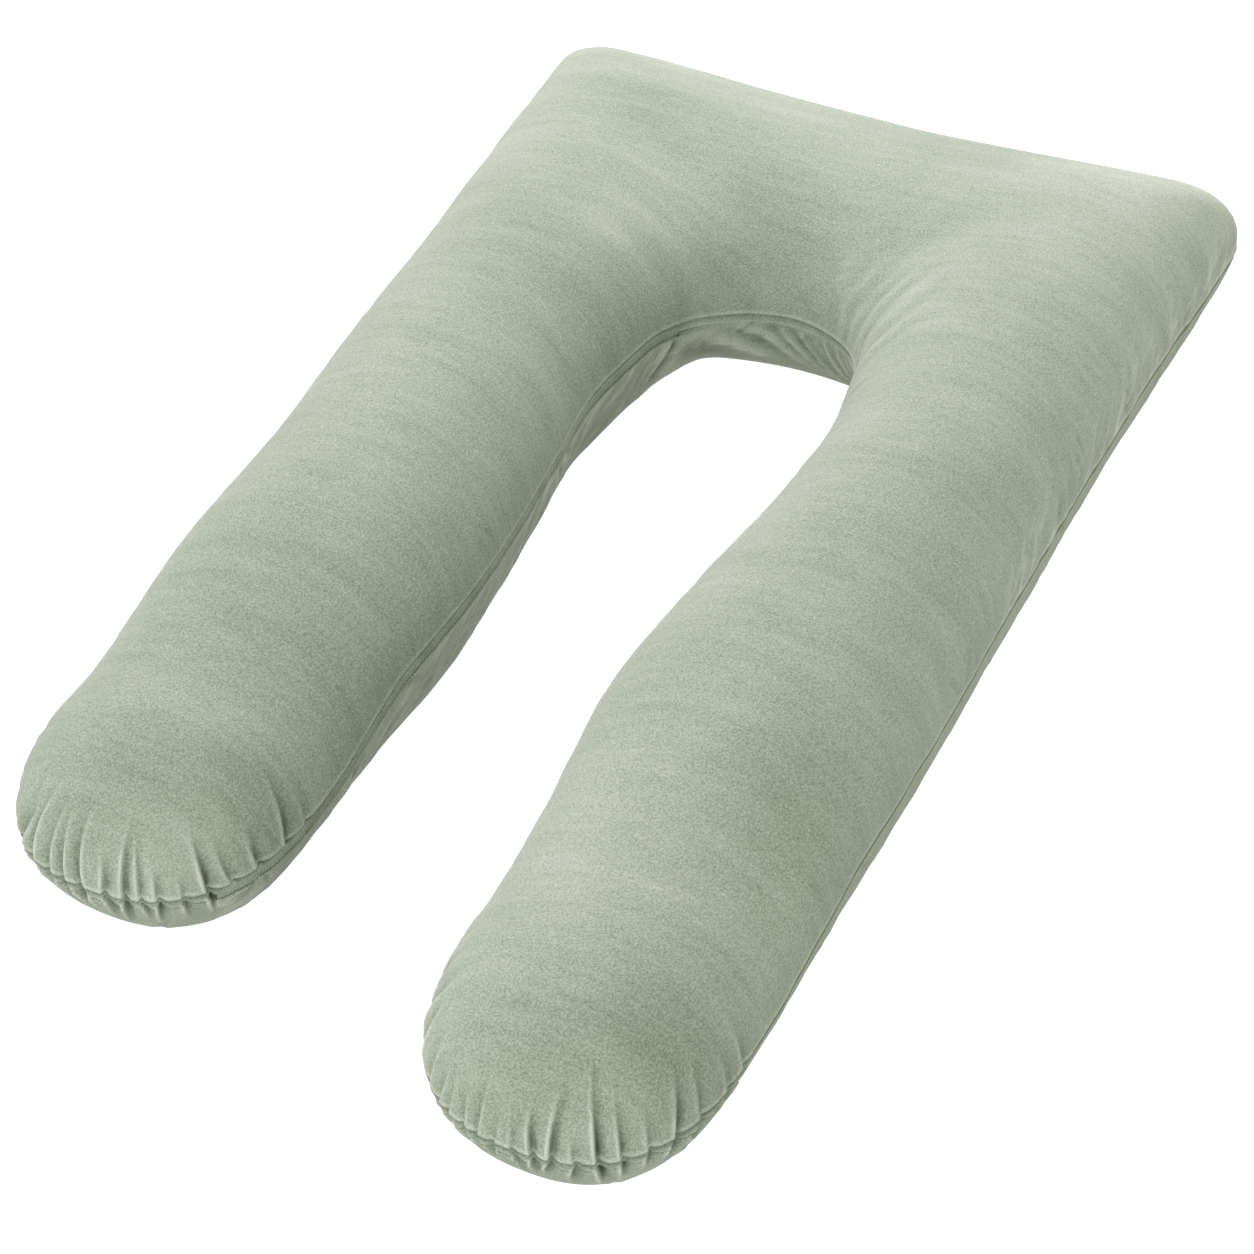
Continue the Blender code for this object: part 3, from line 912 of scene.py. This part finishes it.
def build_stitches(panel, ends, material):
    """The row of stitches that holds the cloth below the placket."""
    mesh = bmesh.new()
    s = np.arange(ends[0], ends[1], STITCH_PITCH)
    places = panel.at(s, -STITCH_LINE[0])
    normals = panel.outward(s, -STITCH_LINE[0])
    ahead = np.gradient(places, axis=0)
    for place, direction, normal in zip(places, ahead, normals):
        direction = Vector(direction).normalized()
        normal = Vector(normal)
        normal = (normal - direction * normal.dot(direction)).normalized()
        centre = Vector(place) + normal * STITCH_RISE
        add_stitch(mesh, centre, direction, normal, STITCH_LENGTH, STITCH_RADIUS)
    piece("placket_stitches", mesh, material)


TACKS = (
    # name, end of the placket (0 head, 1 tip), middle below the seam, length
    ("tack_at_tip", 1, 0.0062, 0.0075),
    ("tack_at_head", 0, 0.0120, 0.0045),
)
TACK_BARS = 4
TACK_BAR_PITCH = 0.0006
TACK_RADIUS = 0.00045
TACK_RISE = 1.5 * MM


def build_tack(name, panel, s, below, length, material):
    """A bar tack at an end of the placket: close stitches that point down from the seam."""
    mesh = bmesh.new()
    rows = s + (np.arange(TACK_BARS) - (TACK_BARS - 1) / 2) * TACK_BAR_PITCH
    places = panel.at(rows, -below)
    normals = panel.outward(rows, -below)
    above = panel.at(rows, -below + LOOK_BESIDE)
    for place, upper, normal in zip(places, above, normals):
        normal = Vector(normal)
        direction = Vector(upper - place)
        direction = (direction - normal * normal.dot(direction)).normalized()
        centre = Vector(place) + normal * TACK_RISE
        add_stitch(mesh, centre, direction, normal, length, TACK_RADIUS)
    piece(name, mesh, material)


# Colours of the cloth and thread, linear.
PILE_DARK = (0.165, 0.195, 0.138)
PILE_MID = (0.337, 0.378, 0.296)
PILE_LIGHT = (0.540, 0.568, 0.500)
STRIP_DARK = (0.200, 0.236, 0.166)
STRIP_LIGHT = (0.345, 0.390, 0.300)
THREAD_DARK = (0.068, 0.084, 0.0544)
THREAD_LIGHT = (0.085, 0.105, 0.068)
SHEEN_TINT = (1.0, 1.0, 0.98)

# Noise in the pile's tone. A bump is a strength and a distance, and a layer that is drawn out is
# stretched along x and z.
PILE_LAYERS = (
    # layer, scale, detail, roughness, drawn out, share of the tone, bump
    ("patches", 9.0, 3.0, 0.55, False, 0.26, None),
    ("brushed", 30.0, 3.0, 0.60, True, 0.30, None),
    ("streaks", 120.0, 3.0, 0.60, True, 0.20, (0.20, 0.0008)),
    ("grain", 590.0, 1.0, 0.60, False, 1.15, (0.30, 0.0006)),
    ("fine", 1250.0, 1.0, 0.50, False, 0.55, (0.20, 0.0003)),
)
DRAWN_OUT = (0.14, 1.0, 0.14)
# Creases in the pile: ridges of a stretched noise that lean up from the y axis, bumped and with a
# painted highlight along them.
CREASE_NOISE = (50.0, 1.0, 0.50)
CREASE_LEAN = math.radians(32)
CREASE_STRETCH = 5.5
CREASE_WIDTH = 0.055
CREASE_PAINTED_HIGHLIGHT = 0.52
CREASE_BUMP = (0.6, 0.0016)
# The strip's and the thread's noise: scale, detail, roughness.
WEAVE_NOISE = (520.0, 2.0, 0.60)
FADED_NOISE = (40.0, 2.0, 0.50)
WEAVE_SHARE = 0.6
# Painted highlight on the ribs' crests and painted shade between them.
RIB_PAINTED_SHADE_AND_HIGHLIGHT = 0.09
WEAVE_STOPS = (0.38, 0.62)
WEAVE_BUMP = (0.4, 0.0005)
TWIST_NOISE = (1400.0, 1.0, 0.50)
TWIST_STOPS = (0.35, 0.65)
TWIST_BUMP = (0.3, 0.0002)
# The shader's roughness over the middle of a noise's range, and the shine of both cloths:
# specular level, sheen weight, sheen roughness.
NOISE_MIDDLE = (0.3, 0.7)
PILE_ROUGHNESS = (0.66, 0.82)
STRIP_ROUGHNESS = (0.72, 0.86)
THREAD_ROUGHNESS = (0.45, 0.60)
PILE_SHINE = (0.16, 0.24, 0.42)
STRIP_SHINE = (0.18, 0.25, 0.50)


class Nodes:
    """A short way to lay out one material's nodes."""

    def __init__(self, name):
        self.material = bpy.data.materials.new(name)
        self.material.use_nodes = True
        self.tree = self.material.node_tree
        self.shader = self.tree.nodes["Principled BSDF"]
        self.place = self.add("ShaderNodeTexCoord").outputs["Object"]

    def add(self, kind, **settings):
        """A node of the given kind with its settings and input values."""
        node = self.tree.nodes.new(kind)
        for key, value in settings.items():
            if key in node.inputs:
                node.inputs[key].default_value = value
            else:
                setattr(node, key, value)
        return node

    def link(self, out, socket):
        """Joins an output to an input."""
        self.tree.links.new(out, socket)

    def mapped(self, kind, rotation, scale):
        """The object's own space, turned and scaled."""
        node = self.add("ShaderNodeMapping", vector_type=kind, Rotation=rotation, Scale=scale)
        self.link(self.place, node.inputs["Vector"])
        return node.outputs["Vector"]

    def noise(self, scale, detail, roughness, space=None):
        """Noise over the object's own space, or over the one given."""
        node = self.add("ShaderNodeTexNoise", Scale=scale, Detail=detail, Roughness=roughness)
        self.link(self.place if space is None else space, node.inputs["Vector"])
        return node.outputs["Fac"]

    def ridges(self, settings, lean, stretch, width):
        """Long thin ridges of noise over the object's space, leaning up from its y axis."""
        space = self.mapped("TEXTURE", (lean, 0.0, 0.0), (stretch, stretch, 1.0))
        away = self.math("SUBTRACT", self.noise(*settings, space), 0.5)
        return self.remap(self.math("ABSOLUTE", away, 0.0), 0.0, width, 1.0, 0.0)

    def attribute(self, name):
        """A value stored in the mesh."""
        return self.add("ShaderNodeAttribute", attribute_name=name).outputs["Fac"]

    def remap(self, value, low, high, to_low, to_high):
        """A value moved from one range to another."""
        node = self.add("ShaderNodeMapRange")
        for key, number in zip(
            ("From Min", "From Max", "To Min", "To Max"), (low, high, to_low, to_high)
        ):
            node.inputs[key].default_value = number
        self.link(value, node.inputs["Value"])
        return node.outputs["Result"]

    def math(self, operation, a, b):
        """Two values put together; either may be a number."""
        node = self.add("ShaderNodeMath", operation=operation)
        for socket, value in zip(node.inputs, (a, b)):
            if isinstance(value, (int, float)):
                socket.default_value = value
            else:
                self.link(value, socket)
        return node.outputs["Value"]

    def ramp(self, value, stops):
        """A colour ramp through (place, colour) stops."""
        node = self.add("ShaderNodeValToRGB")
        elements = node.color_ramp.elements
        while len(elements) < len(stops):
            elements.new(0.5)
        for element, (at, color) in zip(elements, stops):
            element.position = at
            element.color = (*color, 1.0)
        self.link(value, node.inputs["Fac"])
        return node.outputs["Color"]

    def bump(self, layers):
        """Bumps laid over each other, each a height with its (strength, distance)."""
        normal = None
        for height, (strength, distance) in layers:
            node = self.add("ShaderNodeBump", Strength=strength, Distance=distance)
            self.link(height, node.inputs["Height"])
            if normal:
                self.link(normal, node.inputs["Normal"])
            normal = node.outputs["Normal"]
        self.link(normal, self.shader.inputs["Normal"])

    def roughness(self, value, span):
        """Lets a noise move the shader's roughness over a span."""
        self.link(self.remap(value, *NOISE_MIDDLE, *span), self.shader.inputs["Roughness"])

    def shine(self, specular, sheen, sheen_roughness):
        """Sets the shader's specular level and sheen."""
        self.shader.inputs["Specular IOR Level"].default_value = specular
        self.shader.inputs["Sheen Weight"].default_value = sheen
        self.shader.inputs["Sheen Roughness"].default_value = sheen_roughness
        self.shader.inputs["Sheen Tint"].default_value = (*SHEEN_TINT, 1.0)


def velvet():
    """Short-pile velvet: brushed patches, streaks across the legs, fine grain, a soft sheen, and
    the painted shade and highlights kept in the mesh's tone.
    """
    n = Nodes("velvet_pile")
    drawn_out = n.mapped("POINT", (0.0, 0.0, 0.0), DRAWN_OUT)
    ridges = n.ridges(CREASE_NOISE, CREASE_LEAN, CREASE_STRETCH, CREASE_WIDTH)
    creases = n.math("MULTIPLY", ridges, n.attribute("creases"))
    tone = n.math("ADD", n.attribute("tone"), n.math("MULTIPLY", creases, CREASE_PAINTED_HIGHLIGHT))
    bumps = [(creases, CREASE_BUMP)]
    for layer, scale, detail, roughness, stretched, share, bump in PILE_LAYERS:
        value = n.noise(scale, detail, roughness, drawn_out if stretched else None)
        shown = n.math("MULTIPLY", n.math("SUBTRACT", value, 0.5), share)
        tone = n.math("ADD", tone, shown)
        if bump:
            bumps.append((value, bump))
        if layer == "brushed":
            n.roughness(value, PILE_ROUGHNESS)
    tone = n.math("ADD", tone, 0.5)
    color = n.ramp(tone, ((0.0, PILE_DARK), (0.5, PILE_MID), (1.0, PILE_LIGHT)))
    n.link(color, n.shader.inputs["Base Color"])
    n.shine(*PILE_SHINE)
    n.bump(bumps)
    return n.material


def placket_cloth():
    """The strip's flatter cloth, ribbed across, with painted highlights on the ribs and painted
    shade between them.
    """
    n = Nodes("placket_weave")
    weave = n.noise(*WEAVE_NOISE)
    faded = n.math("MULTIPLY", n.noise(*FADED_NOISE), 1 - WEAVE_SHARE)
    tone = n.math("ADD", n.math("MULTIPLY", weave, WEAVE_SHARE), faded)
    tone = n.math("ADD", tone, n.math("MULTIPLY", n.attribute("rib"), RIB_PAINTED_SHADE_AND_HIGHLIGHT))
    color = n.ramp(tone, tuple(zip(WEAVE_STOPS, (STRIP_DARK, STRIP_LIGHT))))
    n.link(color, n.shader.inputs["Base Color"])
    n.roughness(weave, STRIP_ROUGHNESS)
    n.shine(*STRIP_SHINE)
    n.bump([(weave, WEAVE_BUMP)])
    return n.material


def thread():
    """Sewing thread, darker than the cloth."""
    n = Nodes("sewing_thread")
    twist = n.noise(*TWIST_NOISE)
    color = n.ramp(twist, tuple(zip(TWIST_STOPS, (THREAD_DARK, THREAD_LIGHT))))
    n.link(color, n.shader.inputs["Base Color"])
    n.roughness(twist, THREAD_ROUGHNESS)
    n.bump([(twist, TWIST_BUMP)])
    return n.material


# Camera, from the fit of the seam and outline to the photograph.
CAMERA_AT = (0.9389, -2.0278, 1.8364)
CAMERA_AZIMUTH = 24.76
CAMERA_ELEVATION = 39.77
CAMERA_LENS = 85.99
CAMERA_SENSOR = 36.0
CAMERA_SEES = 50.0


def add_camera():
    """The photograph's own view."""
    data = bpy.data.cameras.new("camera")
    data.lens = CAMERA_LENS
    data.sensor_width = CAMERA_SENSOR
    data.sensor_fit = "AUTO"
    data.clip_end = CAMERA_SEES
    made = bpy.data.objects.new("camera", data)
    bpy.context.scene.collection.objects.link(made)
    made.location = CAMERA_AT
    made.rotation_euler = (math.radians(90 - CAMERA_ELEVATION), 0.0, math.radians(CAMERA_AZIMUTH))
    bpy.context.scene.camera = made


KEY_COLOR = (1.03, 1.0, 1.08)
FILL_COLOR = (1.0, 1.0, 1.0)
SHADE_COLOR = (0.96, 1.0, 0.90)
LIGHTS = (
    # name, place, size, power, color
    ("key", (-2.6, 1.9, 2.4), 2.4, 122.0, KEY_COLOR),
    ("rim", (0.6, 3.6, 1.8), 2.4, 90.0, KEY_COLOR),
    ("fill_left", (-2.2, -2.8, 2.2), 2.4, 14.0, FILL_COLOR),
    ("low_left", (-2.6, -2.6, 0.9), 1.6, 17.0, FILL_COLOR),
    ("low_front", (0.2, -3.8, 1.0), 1.6, 74.0, FILL_COLOR),
    ("side", (3.6, -0.2, 1.2), 2.0, 36.0, SHADE_COLOR),
)
WORLD_STRENGTH = 0.42
FLOOR_SIZE = 60.0
FLOOR_GREY = 0.30
FLOOR_GLOW = 1.0
FLOOR_ROUGHNESS = 0.9
FLOOR_SPECULAR = 0.1


def add_lights():
    """Soft studio light, strongest from behind the head on the left."""
    for name, place, size, power, color in LIGHTS:
        data = bpy.data.lights.new(name, "AREA")
        data.shape = "DISK"
        data.size = size
        data.energy = power
        data.color = color
        made = bpy.data.objects.new(name, data)
        bpy.context.scene.collection.objects.link(made)
        made.location = place
        made.rotation_euler = (-Vector(place)).to_track_quat("-Z", "Y").to_euler()
    world = bpy.data.worlds.new("studio")
    world.use_nodes = True
    background = world.node_tree.nodes["Background"]
    background.inputs["Color"].default_value = (*SHADE_COLOR, 1.0)
    background.inputs["Strength"].default_value = WORLD_STRENGTH
    bpy.context.scene.world = world


def add_floor():
    """A wide floor that glows white, so no shadow shows on it, and that lights nothing else."""
    mesh = bmesh.new()
    bmesh.ops.create_grid(mesh, x_segments=2, y_segments=2, size=FLOOR_SIZE / 2)
    data = bpy.data.meshes.new("floor")
    mesh.to_mesh(data)
    mesh.free()
    made = bpy.data.objects.new("floor", data)
    bpy.context.scene.collection.objects.link(made)
    material = bpy.data.materials.new("studio_floor")
    material.use_nodes = True
    shader = material.node_tree.nodes["Principled BSDF"]
    shader.inputs["Base Color"].default_value = (FLOOR_GREY, FLOOR_GREY, FLOOR_GREY, 1.0)
    shader.inputs["Roughness"].default_value = FLOOR_ROUGHNESS
    shader.inputs["Specular IOR Level"].default_value = FLOOR_SPECULAR
    shader.inputs["Emission Color"].default_value = (1.0, 1.0, 1.0, 1.0)
    shader.inputs["Emission Strength"].default_value = FLOOR_GLOW
    data.materials.append(material)
    made.visible_diffuse = False
    made.visible_glossy = False


seam = Loop()
form, plain_form, form_tones, form_runs = cover_points(seam)
low, high = form.reshape(-1, 3).min(axis=0), form.reshape(-1, 3).max(axis=0)
pillow_low, pillow_high = (np.array(corner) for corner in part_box("pillow"))
shift = (pillow_low + pillow_high - low - high) / 2
to_middle = np.array([shift[0], shift[1], 0.0])

build_cover(form + to_middle, form_tones, velvet())
panel = Panel(seam, plain_form + to_middle, form_runs)
strip_ends = placket_ends(seam)
sewing = thread()
build_placket(panel, strip_ends, placket_cloth())
build_stitches(panel, strip_ends, sewing)
for tack, end, below, length in TACKS:
    build_tack(tack, panel, strip_ends[end], below, length, sewing)

add_camera()
add_lights()
add_floor()
bpy.context.scene.view_settings.view_transform = "Standard"
bpy.context.scene.view_settings.look = "None"
